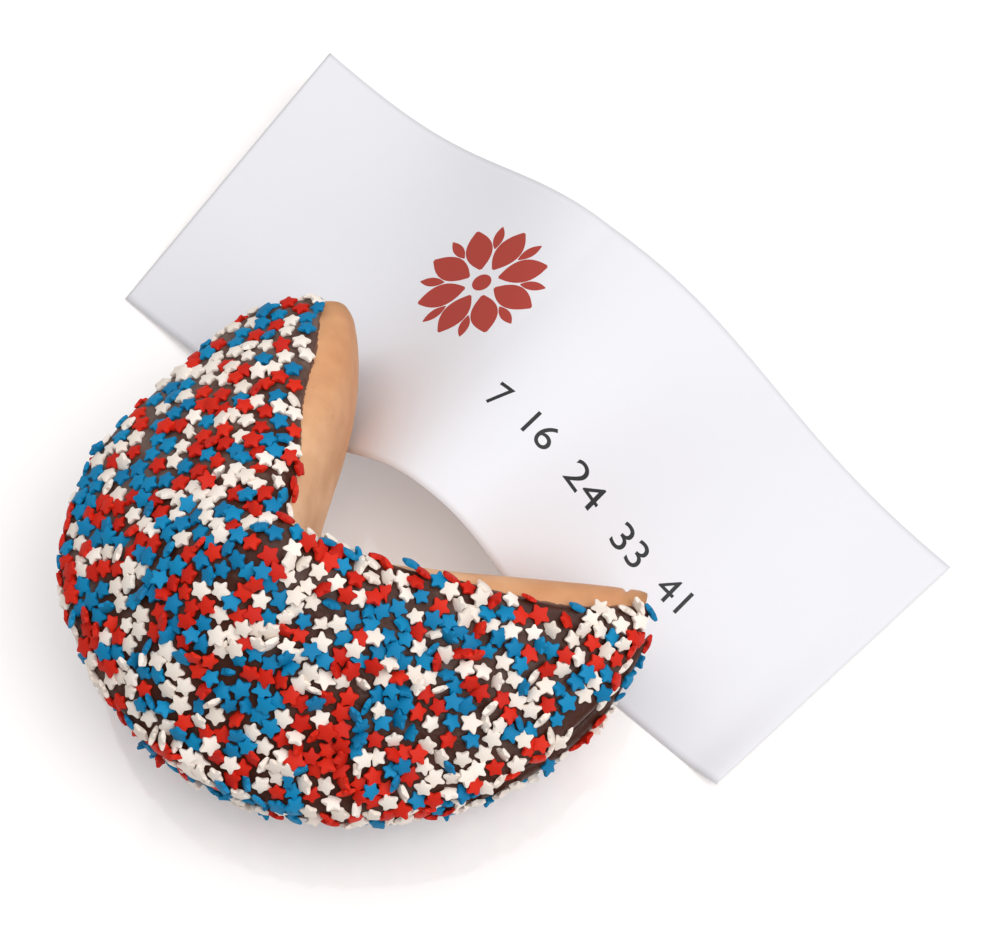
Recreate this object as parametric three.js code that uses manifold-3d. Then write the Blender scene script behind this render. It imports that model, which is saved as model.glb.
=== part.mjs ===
// A giant fortune cookie: a round wafer folded into a hollow shell and bent at its middle,
// dipped in chocolate, set with star sprinkles, and lying across its wavy paper slip.
//
// Millimetres, +Z up, standing on z = 0. In plan the notch between the two wings opens towards
// +X +Y: the left wing runs along +Y and the right wing along +X.
//
// The wafer is a surface with two parameters. u runs along the fold, from the left wing's end
// (-U_END) through the notch (0) to the right wing's end (U_END). v runs across the fold, from
// the front layer's rim (-1) over the fold (0) to the back layer's rim (1).

import * as THREE from 'three';
import Module from 'manifold-3d';

const wasm = await Module();
wasm.setup();

// ---------------------------------------------------------------- driving dimensions

const DEG = Math.PI / 180;

// The wafer's middle surface tilts: its height over the notch corner, and its rise per mm.
const MID = { height: 34.5, riseX: -0.068, riseY: 0.08 };
const REST_HEIGHT = 1.3;           // the wafer's belly is pressed flat at this height

const NOTCH = new THREE.Vector2(-52, -49.5);    // plan corner where the two wings meet
const NOTCH_ROUND = 5;                          // rounding of the fold in that corner
const RIM_CENTRE = new THREE.Vector2(-47.4, -42.5);
const RIM_RADIUS = 61.6;
const RIM_TURN = 30;                 // how late the rim turns in to meet the fold's end

// Each wing: plan direction, length of the fold, how far the fold bulges into the notch,
// rounding of the fold's end, half thickness at the end, how its rim leaves the circle, how far
// round the circle its rim stops short, and how far its end droops.
const LEFT = {
  angle: 81.8 * DEG, length: 82.4, bulge: 5.8, bulgeLate: 1.54, endRound: 5.5, endHeight: 12.9,
  flare: 16.6, flarePower: 5, endBow: 0, endTurn: 2.4 * DEG, droop: 7, dipGrowth: 0.24,
  swells: [{ by: 1.4, at: 0.25, width: 0.2 }, { by: -3, at: 0.7, width: 0.17 }],
};
const RIGHT = {
  angle: -0.2 * DEG, length: 92, bulge: 1.15, bulgeLate: 1, endRound: 5, endHeight: 13,
  flare: 25.5, flarePower: 2, endBow: 2, endTurn: 2.7 * DEG, droop: 0, dipGrowth: 0.235,
  swells: [{ by: -0.5, at: 0.6, width: 0.26 }, { by: -0.3, at: 0.3, width: 0.2 }],
};
const U_END = 0.985;               // the wafer's round edge cuts the fold open here
const FOLD_EVENNESS = 0.3;         // 1 spaces the stations evenly, 0 crowds them at the notch

const FRONT_HEIGHT = 37.5;         // half thickness over and under the notch corner
const BACK_HEIGHT = 34;
const CREST_SOFTNESS = 0.12;
const END_CLOSING = 0.3;           // share of its height that a wing loses over its last stretch
const END_START = 0.86;

const END_REACH = 6;               // a high power keeps the end's bow and droop to the end
const END_TURN_START = 0.45;
const END_TURN_FULL = 0.9;

const WAFER = 2.6;                 // wafer thickness
const SEAM_GAP = 1;                // between the two layers where the seam is shut
const MOUTH_GAP = 10.8;            // between them at the wings' ends
const MOUTH_START = 0.55;

const DIP_START = 0.235;           // the chocolate's edge across the fold, at the notch corner
const DIP_POWER = 1.8;
const COAT_CLEARANCE = 0.3;        // chocolate stands clear of the wafer by this
const COAT = 1.2;                  // chocolate thickness
const LIP = 1.8;                   // how far chocolate turns in under the rim at the mouths
const LIP_START = 0.78;
const LIP_FULL = 0.9;

const STAR = { tip: 2.7, valley: 1.45, height: 1.6, sunk: 0.8, points: 5 };
const STAR_SPACING = 12.3;
const STAR_TRIES = 6000;
const STAR_FLOOR = 3.2;            // no star's middle is lower than this

const SLIP_THICKNESS = 0.4;
const SLIP_CORNERS = {             // plan corners, by wing side and by nearness to the wings
  nearLeft: new THREE.Vector2(-108, 54.3),
  farLeft: new THREE.Vector2(-50.3, 129),
  farRight: new THREE.Vector2(123.2, -29.8),
  nearRight: new THREE.Vector2(56.6, -92.2),
};
const NEAR_WAVE = { peak: 41.5, at: 121, left: 38, right: 32.5, power: 2.4 };
const NEAR_RIPPLE = { peak: 4.5, at: 45, left: 30, right: 30, power: 2 };
const FAR_WAVE = { peak: 40, at: 118, left: 60, right: 67, power: 2.3 };
const FAR_END_LIFT = 15;           // the far left corner is curled up by this
const FAR_END_REACH = 110;
const NEAR_CORNER_LIFT = 3;        // and the near right one by this
const NEAR_CORNER_REACH = 16;

const STATIONS = 28;               // along the fold
const COAT_STEPS = 8;              // across each coated layer
const BARE_STEPS = 6;              // across the bare fold
const SLIP_STEPS = { along: 28, across: 4 };

// ---------------------------------------------------------------- small helpers

const clamp = THREE.MathUtils.clamp;
const lerp = THREE.MathUtils.lerp;
const smoothstep = THREE.MathUtils.smoothstep;

// A seeded random number between 0 and 1, the same each run.
function makeRandom(seed) {
  let state = seed >>> 0;
  return () => {
    state = (state + 0x6d2b79f5) >>> 0;
    let t = state;
    t = Math.imul(t ^ (t >>> 15), t | 1);
    t ^= t + Math.imul(t ^ (t >>> 7), t | 61);
    return ((t ^ (t >>> 14)) >>> 0) / 4294967296;
  };
}

// max(0, x) with a round corner.
const softPositive = (x, round) => (x + Math.sqrt(x * x + round * round)) / 2;

// A bell with its own width on each side.
function bell(x, { peak, at, left, right, power }) {
  const reach = Math.abs(x - at) / (x < at ? left : right);
  return peak * Math.exp(-(reach ** power));
}

// Collects vertices and faces, and turns them into a Manifold.
class Shell {
  constructor() {
    this.points = [];
    this.faces = [];
  }

  add(point) {
    this.points.push(point);
    return this.points.length - 1;
  }

  quad(a, b, c, d) {
    this.faces.push([a, b, c], [a, c, d]);
  }

  // A strip of quads for each pair of neighbouring rows of vertex numbers.
  skin(rows, turned = false) {
    for (let i = 0; i + 1 < rows.length; i++) {
      for (let j = 0; j + 1 < rows[i].length; j++) {
        const [a, b, c, d] = [rows[i][j], rows[i + 1][j], rows[i + 1][j + 1], rows[i][j + 1]];
        if (turned) this.faces.push([a, c, b], [a, d, c]);
        else this.quad(a, b, c, d);
      }
    }
  }

  manifold() {
    const vertProperties = new Float32Array(this.points.flatMap((p) => [p.x, p.y, p.z]));
    const triVerts = new Uint32Array(this.faces.flat());
    const solid = new wasm.Manifold(new wasm.Mesh({ numProp: 3, vertProperties, triVerts }));
    if (solid.volume() > 0) return solid;
    const turned = new Uint32Array(this.faces.flatMap(([a, b, c]) => [a, c, b]));
    return new wasm.Manifold(new wasm.Mesh({ numProp: 3, vertProperties, triVerts: turned }));
  }
}

function toGeometry(solid) {
  const mesh = solid.getMesh();
  const geometry = new THREE.BufferGeometry();
  const position = new Float32Array(mesh.numVert * 3);
  for (let i = 0; i < mesh.numVert; i++) {
    for (let k = 0; k < 3; k++) position[3 * i + k] = mesh.vertProperties[mesh.numProp * i + k];
  }
  geometry.setAttribute('position', new THREE.BufferAttribute(position, 3));
  geometry.setIndex(new THREE.BufferAttribute(new Uint32Array(mesh.triVerts), 1));
  return geometry;
}

// ---------------------------------------------------------------- the folded wafer

const wingOf = (u) => (u < 0 ? LEFT : RIGHT);
const heading = (wing) => new THREE.Vector2(Math.cos(wing.angle), Math.sin(wing.angle));

// How far the fold stands out towards the notch, at a distance along one wing.
function foldOffset(wing, distance) {
  const end = clamp((distance - (wing.length - wing.endRound)) / wing.endRound, 0, 1);
  const roundedOff = 0.8 * wing.endRound * (1 - Math.sqrt(1 - 0.9999 * end * end));
  const share = clamp(distance / wing.length, 0, 1) ** wing.bulgeLate;
  return wing.bulge * Math.sin(Math.PI * share) - roundedOff;
}

// The fold's line in plan.
function foldPoint(u) {
  const run = Math.sign(u) * wingOf(u).length * lerp(u * u, Math.abs(u), FOLD_EVENNESS);
  const point = NOTCH.clone();
  for (const [wing, side] of [[LEFT, -1], [RIGHT, 1]]) {
    const distance = softPositive(side * run, NOTCH_ROUND);
    const along = heading(wing);
    const intoNotch = new THREE.Vector2(-side * along.y, side * along.x);
    point.addScaledVector(along, distance).addScaledVector(intoNotch, foldOffset(wing, distance));
  }
  return point;
}

const FOLD_ENDS = { left: foldPoint(-1).sub(RIM_CENTRE), right: foldPoint(1).sub(RIM_CENTRE) };

// The two rims' line in plan: a circle that flares out along each wing and ends at the fold.
function rimPoint(u) {
  const wing = wingOf(u);
  const foldEnd = u < 0 ? FOLD_ENDS.left : FOLD_ENDS.right;
  const start = FOLD_ENDS.left.angle();
  const finish = FOLD_ENDS.right.angle();
  const share = Math.asin(clamp(u, -1, 1)) / (Math.PI / 2);
  const reach = Math.abs(share);
  let radius = RIM_RADIUS + wing.flare * reach ** wing.flarePower;
  for (const { by, at, width } of wing.swells) {
    radius += by * Math.exp(-(((reach - at) / width) ** 2)) * smoothstep(reach, 0, at);
  }
  radius += (foldEnd.length() - RIM_RADIUS - wing.flare) * reach ** RIM_TURN;
  const turn = Math.sign(u) * wing.endTurn * smoothstep(reach, END_TURN_START, END_TURN_FULL);
  const angle = lerp(start, finish, (share + 1) / 2) - turn;
  const outward = new THREE.Vector2(Math.cos(angle), Math.sin(angle));
  return RIM_CENTRE.clone().addScaledVector(outward, radius);
}

// Half the wafer's thickness over its middle surface, at the crest and at the rim.
function crestHeight(u, front) {
  const soft = (x) => Math.sqrt(x * x + CREST_SOFTNESS ** 2) - CREST_SOFTNESS;
  const share = soft(u) / soft(1);
  const closing = clamp((Math.abs(u) - END_START) / (1 - END_START), 0, 1);
  const height = lerp(front ? FRONT_HEIGHT : BACK_HEIGHT, wingOf(u).endHeight, share);
  return height * (1 - END_CLOSING * closing ** 2);
}

function rimHeight(u) {
  const opening = clamp((Math.abs(u) - MOUTH_START) / (1 - MOUTH_START), 0, 1) ** 2;
  return WAFER + lerp(SEAM_GAP, MOUTH_GAP, opening) / 2;
}

// The section across the fold is a quartic Bezier curve, from the fold over the crest to the
// rim. Beside the notch it leans into the notch before it turns over a tight crest.
function section(u, t, front) {
  const r = 1 - t;
  const weight = [r ** 4, 4 * t * r ** 3, 6 * t * t * r * r, 4 * t ** 3 * r, t ** 4];
  const lean = (front ? -0.07 : 0.05) * Math.exp(-((u / 0.25) ** 2));
  const nose = 0.16 - (front ? 0.13 : 0.04) * Math.exp(-((u / 0.3) ** 2));
  return {
    out: weight[1] * lean + weight[2] * nose + weight[3] * 0.6 + weight[4],
    up: weight[1] * 1.25 + weight[2] * 1.25 + weight[3] * 0.88,
  };
}

const middleHeight = (x, y) => MID.height + MID.riseX * (x - NOTCH.x) + MID.riseY * (y - NOTCH.y);

// A point of the wafer's outer face.
function shellPoint(u, v) {
  const t = Math.abs(v);
  const front = v < 0;
  const { out, up } = section(u, t, front);
  const wing = wingOf(u);
  const nearEnd = Math.abs(u) ** END_REACH;
  const bow = wing.endBow * nearEnd * Math.sin(Math.PI * clamp(out, 0, 1) ** 0.75);
  const plan = foldPoint(u).lerp(rimPoint(u), out).addScaledVector(heading(wing), bow);
  const height = crestHeight(u, front) * up + rimHeight(u) * t ** 3;
  const z = middleHeight(plan.x, plan.y) - wing.droop * nearEnd + (front ? height : -height);
  return new THREE.Vector3(plan.x, plan.y, REST_HEIGHT + softPositive(z - REST_HEIGHT, 0.6));
}

const STEP = 1e-4;

// Its outward normal.
function shellNormal(u, v) {
  const along = shellPoint(u + STEP, v).sub(shellPoint(u - STEP, v));
  const across = shellPoint(u, v + STEP).sub(shellPoint(u, v - STEP));
  return along.cross(across).normalize();
}

const offsetPoint = (u, v, offset) => shellPoint(u, v).addScaledVector(shellNormal(u, v), offset);

// Where the chocolate's edge lies across the fold: it was dipped by hand, so it wanders.
function dipEdge(u) {
  const wander = 0.012 * Math.sin(17 * u) * Math.min(1, 4 * Math.abs(u));
  return DIP_START + wingOf(u).dipGrowth * Math.abs(u) ** DIP_POWER + wander;
}

const stationList = Array.from({ length: STATIONS + 1 }, (_, i) => {
  const share = (2 * i) / STATIONS - 1;
  return Math.sin(share * Math.asin(U_END));
});

const coatedValues = (u) => {
  const edge = dipEdge(u);
  return Array.from({ length: COAT_STEPS + 1 }, (_, j) => lerp(edge, 1, j / COAT_STEPS));
};

function waferValues(u) {
  const coated = coatedValues(u);
  const edge = coated[0];
  const count = BARE_STEPS - 1;
  const bare = Array.from({ length: count }, (_, j) => lerp(-edge, edge, (j + 1) / BARE_STEPS));
  return [...coated.map((v) => -v).reverse(), ...bare, ...coated];
}

function makeWafer() {
  const shell = new Shell();
  const row = (u, offset) => waferValues(u).map((v) => shell.add(offsetPoint(u, v, offset)));
  const face = (offset) => stationList.map((u) => row(u, offset));
  const outer = face(0);
  const inner = face(-WAFER);
  const last = outer[0].length - 1;
  shell.skin(outer);
  shell.skin(inner, true);
  shell.skin([outer[0], inner[0]], true);
  shell.skin([outer[STATIONS], inner[STATIONS]]);
  shell.skin([outer.map((line) => line[0]), inner.map((line) => line[0])]);
  shell.skin([outer.map((line) => line[last]), inner.map((line) => line[last])], true);
  return shell.manifold();
}

// ---------------------------------------------------------------- the chocolate coat

// One layer's chocolate, front (-1) or back (1): a skin that wraps round the wafer's edge.
function makeCoatLayer(side) {
  const shell = new Shell();
  const row = (u, offset) => coatedValues(u).map((v) => shell.add(coatPoint(u, side * v, offset)));
  const face = (offset) => stationList.map((u) => row(u, offset));
  const outer = face(COAT_CLEARANCE + COAT);
  const inner = face(COAT_CLEARANCE);

  // The edge path: up the left end, along the rim, and down the right end.
  const path = [];
  for (let j = 0; j < COAT_STEPS; j++) path.push([0, j]);
  for (let i = 0; i < STATIONS; i++) path.push([i, COAT_STEPS]);
  for (let j = COAT_STEPS; j >= 0; j--) path.push([STATIONS, j]);
  const edgePoint = ([i, j]) => shellPoint(stationList[i], side * coatedValues(stationList[i])[j]);
  const wrapped = path.map(([i, j], k) => {
    const u = stationList[i];
    const before = edgePoint(path[Math.max(k - 1, 0)]);
    const after = edgePoint(path[Math.min(k + 1, path.length - 1)]);
    const normal = shellNormal(u, side * coatedValues(u)[j]);
    const outward = normal.clone().cross(after.sub(before)).normalize().multiplyScalar(side);
    const place = ([out, up]) => {
      const point = edgePoint([i, j]).addScaledVector(outward, out).addScaledVector(normal, up);
      point.z = Math.max(point.z, 0);
      return shell.add(point);
    };
    const pairs = wrapProfile(u);
    return {
      outer: [outer[i][j], ...pairs.map((pair) => place(pair.outer))],
      inner: [inner[i][j], ...pairs.map((pair) => place(pair.inner))],
    };
  });

  const turned = side > 0;
  const outerWrap = wrapped.map((ring) => ring.outer);
  const innerWrap = wrapped.map((ring) => ring.inner);
  const first = wrapped[0];
  const final = wrapped[wrapped.length - 1];
  // Both skins are split into triangles the way the wafer under them is.
  const asWafer = (rows) => (side < 0 ? rows.map((line) => [...line].reverse()) : rows);
  shell.skin(asWafer(outer), true);
  shell.skin(asWafer(inner), false);
  shell.skin([inner.map((line) => line[0]), outer.map((line) => line[0])], !turned);
  shell.skin(outerWrap, turned);
  shell.skin(innerWrap, !turned);
  shell.skin([outerWrap.map((line) => line.at(-1)), innerWrap.map((line) => line.at(-1))], !turned);
  shell.skin([first.outer, first.inner], !turned);
  shell.skin([final.outer, final.inner], turned);
  return shell.manifold();
}

function coatPoint(u, v, offset) {
  const point = offsetPoint(u, v, offset);
  point.z = Math.max(point.z, 0);
  return point;
}

// The wrap's two faces as pairs of [outward, along the normal], from the skin to the lip. Where
// the seam is shut it reaches past the middle surface, so that both layers' chocolate joins.
function wrapProfile(u) {
  const open = smoothstep(Math.abs(u), LIP_START, LIP_FULL);
  const gap = COAT_CLEARANCE;
  const out = gap + COAT;
  const seam = -(WAFER + SEAM_GAP / 2 + 0.6);
  const low = lerp(seam, -WAFER - 1.4, open);
  return [
    { outer: [0.8 * out, 0.6], inner: [gap, gap] },
    { outer: [out, -0.5 * WAFER], inner: [gap, -0.5 * WAFER] },
    {
      outer: [0.85 * out, lerp(seam, -WAFER - 1, open)],
      inner: [gap, lerp(seam + 0.5, -WAFER - 0.4, open)],
    },
    {
      outer: [lerp(0.7, -LIP, open), low],
      inner: [lerp(gap + 0.1, -LIP, open), lerp(seam + 0.3, -WAFER - 0.5, open)],
    },
  ];
}

// ---------------------------------------------------------------- the star sprinkles

// One star, lying on the coat's outer face and sunk a little into it.
function makeStar(centre, normal, turn, size) {
  const shell = new Shell();
  const right = new THREE.Vector3(0, 0, 1).cross(normal);
  if (right.length() < 0.1) right.set(1, 0, 0).cross(normal);
  right.normalize().applyAxisAngle(normal, turn);
  const ahead = normal.clone().cross(right);
  const corners = 2 * STAR.points;
  const ring = (height, scale) => Array.from({ length: corners }, (_, k) => {
    const angle = (k * Math.PI) / STAR.points;
    const radius = (k % 2 ? STAR.valley : STAR.tip) * size * scale;
    return shell.add(centre.clone()
      .addScaledVector(right, radius * Math.cos(angle))
      .addScaledVector(ahead, radius * Math.sin(angle))
      .addScaledVector(normal, height));
  });
  const low = ring(-STAR.sunk, 1);
  const top = ring(STAR.height * size, 0.9);
  for (let k = 0; k < corners; k++) {
    const next = (k + 1) % corners;
    shell.quad(low[k], low[next], top[next], top[k]);
  }
  // Each face is five tips round a pentagon of valleys.
  const cover = (face, turned) => {
    const triangles = [];
    for (let k = 0; k < corners; k += 2) {
      triangles.push([face[k], face[(k + 1) % corners], face[(k + 9) % corners]]);
    }
    for (let k = 3; k < corners - 1; k += 2) triangles.push([face[1], face[k], face[k + 2]]);
    for (const [a, b, c] of triangles) shell.faces.push(turned ? [a, c, b] : [a, b, c]);
  };
  cover(top, false);
  cover(low, true);
  return shell.manifold();
}

// Stars are thrown at random and kept where no other is near, so they lie evenly.
function makeStars() {
  const random = makeRandom(20240704);
  const kept = [];
  for (let k = 0; k < STAR_TRIES; k++) {
    const u = Math.sin(lerp(-1, 1, random()) * Math.asin(U_END - 0.02));
    const side = random() < 0.5 ? -1 : 1;
    const v = side * lerp(dipEdge(u) + 0.06, 0.95, random());
    const turn = random() * Math.PI * 2;
    const size = lerp(0.92, 1.05, random());
    const centre = offsetPoint(u, v, COAT_CLEARANCE + COAT);
    const crowded = kept.some((star) => star.centre.distanceTo(centre) < STAR_SPACING);
    const tooLow = centre.z < Math.max(STAR_FLOOR, slipHeightAt(centre.x, centre.y) + STAR_FLOOR + 1.5);
    if (crowded || (side > 0 && tooLow)) continue;
    kept.push({ centre, star: makeStar(centre, shellNormal(u, v), turn, size) });
  }
  return kept.map(({ star }) => star);
}

// ---------------------------------------------------------------- the paper slip

const nearSpan = SLIP_CORNERS.nearRight.clone().sub(SLIP_CORNERS.nearLeft);
const farSpan = SLIP_CORNERS.farRight.clone().sub(SLIP_CORNERS.farLeft);

function nearEdgeHeight(share) {
  const run = share * nearSpan.length();
  const corner = smoothstep(run, nearSpan.length() - NEAR_CORNER_REACH, nearSpan.length());
  return bell(run, NEAR_WAVE) + bell(run, NEAR_RIPPLE) + NEAR_CORNER_LIFT * corner ** 2;
}

function farEdgeHeight(share) {
  const run = share * farSpan.length();
  return bell(run, FAR_WAVE) + FAR_END_LIFT * Math.max(0, 1 - run / FAR_END_REACH);
}

// The slip's lower face is ruled between its two long edges.
function slipPoint(along, across) {
  const near = SLIP_CORNERS.nearLeft.clone().addScaledVector(nearSpan, along);
  const far = SLIP_CORNERS.farLeft.clone().addScaledVector(farSpan, along);
  const plan = near.lerp(far, across);
  return new THREE.Vector3(plan.x, plan.y, lerp(nearEdgeHeight(along), farEdgeHeight(along), across));
}

// Its height under a plan point, or far below where there is none.
function slipHeightAt(x, y) {
  let along = 0.5;
  let across = 0.5;
  for (let k = 0; k < 8; k++) {
    const here = slipPoint(along, across);
    const stepAlong = slipPoint(along + STEP, across).sub(here).divideScalar(STEP);
    const stepAcross = slipPoint(along, across + STEP).sub(here).divideScalar(STEP);
    const area = stepAlong.x * stepAcross.y - stepAlong.y * stepAcross.x;
    const dx = x - here.x;
    const dy = y - here.y;
    along += (dx * stepAcross.y - dy * stepAcross.x) / area;
    across += (dy * stepAlong.x - dx * stepAlong.y) / area;
  }
  const margin = 0.06;
  const inside = along > -margin && along < 1 + margin && across > -margin && across < 1 + margin;
  return inside ? slipPoint(clamp(along, 0, 1), clamp(across, 0, 1)).z : -100;
}

function makeSlip() {
  const shell = new Shell();
  const face = (lift) => Array.from({ length: SLIP_STEPS.along + 1 }, (_, i) =>
    Array.from({ length: SLIP_STEPS.across + 1 }, (_, j) => {
      const point = slipPoint(i / SLIP_STEPS.along, j / SLIP_STEPS.across);
      point.z += lift;
      return shell.add(point);
    }));
  const lower = face(0);
  const upper = face(SLIP_THICKNESS);
  const last = SLIP_STEPS.across;
  shell.skin(upper);
  shell.skin(lower, true);
  shell.skin([upper[0], lower[0]], true);
  shell.skin([upper[SLIP_STEPS.along], lower[SLIP_STEPS.along]]);
  shell.skin([upper.map((row) => row[0]), lower.map((row) => row[0])]);
  shell.skin([upper.map((row) => row[last]), lower.map((row) => row[last])], true);
  return shell.manifold();
}

// ---------------------------------------------------------------- assembly

// Joins solids, and drops any scrap or sealed hollow that joining them left.
function fuse(solids) {
  const whole = solids.reduce((sum, solid) => sum.add(solid));
  const pieces = whole.decompose();
  return pieces.reduce((largest, piece) => (piece.volume() > largest.volume() ? piece : largest));
}

const biscuit = new THREE.MeshStandardMaterial({ color: 0xdba974, roughness: 0.75, metalness: 0 });
const chocolate = new THREE.MeshStandardMaterial({ color: 0x4b302a, roughness: 0.45, metalness: 0 });
const paper = new THREE.MeshStandardMaterial({ color: 0xf0eff4, roughness: 0.85, metalness: 0 });

function addPiece(parent, name, solid, material) {
  const mesh = new THREE.Mesh(toGeometry(solid), material);
  mesh.name = name;
  parent.add(mesh);
}

const group = new THREE.Group();
addPiece(group, 'wafer_shell', makeWafer(), biscuit);
addPiece(group, 'chocolate_coat', fuse([makeCoatLayer(-1), makeCoatLayer(1), ...makeStars()]), chocolate);
addPiece(group, 'fortune_slip', makeSlip(), paper);

// The origin is the middle of the whole's footprint.
const whole = new THREE.Box3().setFromObject(group);
group.position.set(-(whole.min.x + whole.max.x) / 2, -(whole.min.y + whole.max.y) / 2, -whole.min.z);
group.updateMatrixWorld(true);

export default group;
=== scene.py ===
"""A giant fortune cookie: a hollow folded wafer dipped in dark chocolate, covered in star
sprinkles, lying across its wavy paper slip.

Shapes are worked out in millimetres in the cookie's own plan frame, with the main dimensions of
the CAD solids, and put into the row frame, in metres, when a mesh is made.
"""

import itertools
import math

import bmesh
import bpy
import numpy as np
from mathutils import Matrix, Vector, noise
from mathutils.bvhtree import BVHTree


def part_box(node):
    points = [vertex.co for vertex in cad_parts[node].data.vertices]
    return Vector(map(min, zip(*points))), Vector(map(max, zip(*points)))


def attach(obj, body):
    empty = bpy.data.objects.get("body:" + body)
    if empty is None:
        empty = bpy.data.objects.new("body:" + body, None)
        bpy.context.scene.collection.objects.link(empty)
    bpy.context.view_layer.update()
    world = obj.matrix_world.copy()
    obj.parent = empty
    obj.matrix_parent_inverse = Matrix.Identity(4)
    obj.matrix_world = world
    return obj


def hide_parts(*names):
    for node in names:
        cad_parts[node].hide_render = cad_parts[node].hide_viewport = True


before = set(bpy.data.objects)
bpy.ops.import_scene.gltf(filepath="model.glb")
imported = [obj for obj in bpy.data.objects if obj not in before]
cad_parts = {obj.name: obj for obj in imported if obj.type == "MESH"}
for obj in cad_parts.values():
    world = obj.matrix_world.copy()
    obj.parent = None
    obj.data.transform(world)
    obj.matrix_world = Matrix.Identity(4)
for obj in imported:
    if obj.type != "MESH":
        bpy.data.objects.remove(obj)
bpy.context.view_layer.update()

# ---------- driving dimensions (mm)

MM = 0.001
MID = {"height": 34.5, "rise_x": -0.068, "rise_y": 0.08}  # the plane between the layers
REST_HEIGHT, REST_ROUND = 1.3, 0.6  # the wafer's belly is pressed flat at this height
NOTCH = np.array([-52.0, -49.5])  # plan corner where the two wings meet
NOTCH_ROUND = 5.0
RIM_CENTRE = np.array([-47.4, -42.5])
RIM_RADIUS = 61.6
RIM_TURN = 30  # how late the rim turns in to meet the fold's end

LEFT = {
    "angle": math.radians(81.8), "length": 82.4, "bulge": 5.8, "bulge_late": 1.54,
    "end_round": 5.5, "end_height": 12.9, "flare": 16.6, "flare_power": 5, "end_bow": 0.0,
    "end_turn": math.radians(2.4), "droop": 7.0, "dip_growth": 0.24,
    "swells": [(1.4, 0.25, 0.2), (-3.0, 0.7, 0.17)],
}
RIGHT = {
    "angle": math.radians(-0.2), "length": 92.0, "bulge": 1.15, "bulge_late": 1.0,
    "end_round": 5.0, "end_height": 13.0, "flare": 25.5, "flare_power": 2, "end_bow": 2.0,
    "end_turn": math.radians(2.7), "droop": 0.0, "dip_growth": 0.235,
    "swells": [(-0.5, 0.6, 0.26), (-0.3, 0.3, 0.2)],
}
U_END = 0.985  # the wafer's round edge cuts the fold open here
FOLD_EVENNESS = 0.3  # 1 spaces the stations evenly, 0 crowds them at the notch
FRONT_HEIGHT, BACK_HEIGHT = 37.5, 34.0  # half thickness over and under the notch corner
CREST_SOFTNESS = 0.12
END_CLOSING, END_START = 0.3, 0.86  # share of its height that a wing loses, and from where
END_REACH = 6  # a high power keeps the end's bow and droop to the end
END_ROUNDING, BOW_SHAPE = 0.8, 0.75
END_TURN_START, END_TURN_FULL = 0.45, 0.9

# The section across the fold: beside the notch it leans, and its nose draws in.
LEAN_FRONT, LEAN_BACK, LEAN_REACH = -0.07, 0.05, 0.25
NOSE, NOSE_FRONT, NOSE_BACK, NOSE_REACH = 0.16, 0.13, 0.04, 0.3
CREST_UP, FLANK_OUT, FLANK_UP = 1.25, 0.6, 0.88

WAFER = 2.6  # wafer thickness
SEAM_GAP = 1.0  # between the two layers where the seam is shut
MOUTH_GAP, MOUTH_START = 10.8, 0.55  # between them at the wings' ends, and from where

CHIP_AT, CHIP_WIDTH, CHIP_DEPTH = 0.952, 0.004, 0.9  # a crease by the right wing's end
DIP_START, DIP_POWER = 0.235, 1.8  # the chocolate's edge across the fold
DIP_WAVES = [(0.08, -0.05, 0.17), (0.033, -0.76, 0.13), (-0.028, 0.42, 0.1)]
DIP_RIPPLE, DIP_RIPPLE_RATE = 0.012, 17
DIP_WOBBLES = [(0.010, 9, 2.0), (0.005, 31, 4.0)]  # share, rate along the fold, seed
COAT = 1.5  # the chocolate's outer face over the wafer's
LIP = 2.2  # how far the chocolate turns in at the mouths
LIP_START, LIP_FULL = 0.78, 0.9
SMOOTH_AT, SMOOTH_SIZE = (0.955, -0.93), (7.0, 3.2)  # a patch without stars: u and v, mm

SLIP_THICKNESS = 0.4  # as in the CAD; its upper face is the paper's
PAPER = 0.25
SLIP_NEAR_LEFT = np.array([-108.0, 54.3])
SLIP_FAR_LEFT = np.array([-50.3, 129.0])
SLIP_FAR_RIGHT = np.array([123.2, -29.8])
SLIP_NEAR_RIGHT = np.array([56.6, -92.2])
NEAR_WAVE = {"peak": 41.5, "at": 121.0, "left": 38.0, "right": 32.5, "power": 2.4}
NEAR_RIPPLE = {"peak": 4.5, "at": 45.0, "left": 30.0, "right": 30.0, "power": 2}
FAR_WAVE = {"peak": 40.0, "at": 118.0, "left": 60.0, "right": 67.0, "power": 2.3}
FAR_END_LIFT, FAR_END_REACH = 15.0, 110.0
NEAR_CORNER_LIFT, NEAR_CORNER_REACH = 3.0, 16.0

# The plan frame's origin, in the row frame: the slip's lowest plan corner ties the two.
slip_low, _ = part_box("fortune_slip")
SHIFT = np.array([slip_low.x / MM - SLIP_NEAR_LEFT[0], slip_low.y / MM - SLIP_NEAR_RIGHT[1], 0.0])


# ---------- the wafer's surface

def soft_positive(x, rounding):
    """x where it is positive and 0 elsewhere, with the corner rounded."""
    return (x + np.sqrt(x * x + rounding * rounding)) / 2


def smoothstep(x, low, high):
    t = np.clip((x - low) / (high - low), 0, 1)
    return t * t * (3 - 2 * t)


def mix(a, b, t):
    return a + (b - a) * t


def unit(vectors):
    return vectors / np.linalg.norm(vectors, axis=-1, keepdims=True)


def of_wing(u, name):
    """One of the wings' dimensions, for the wing that each u is on."""
    return np.where(u < 0, LEFT[name], RIGHT[name])


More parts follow.
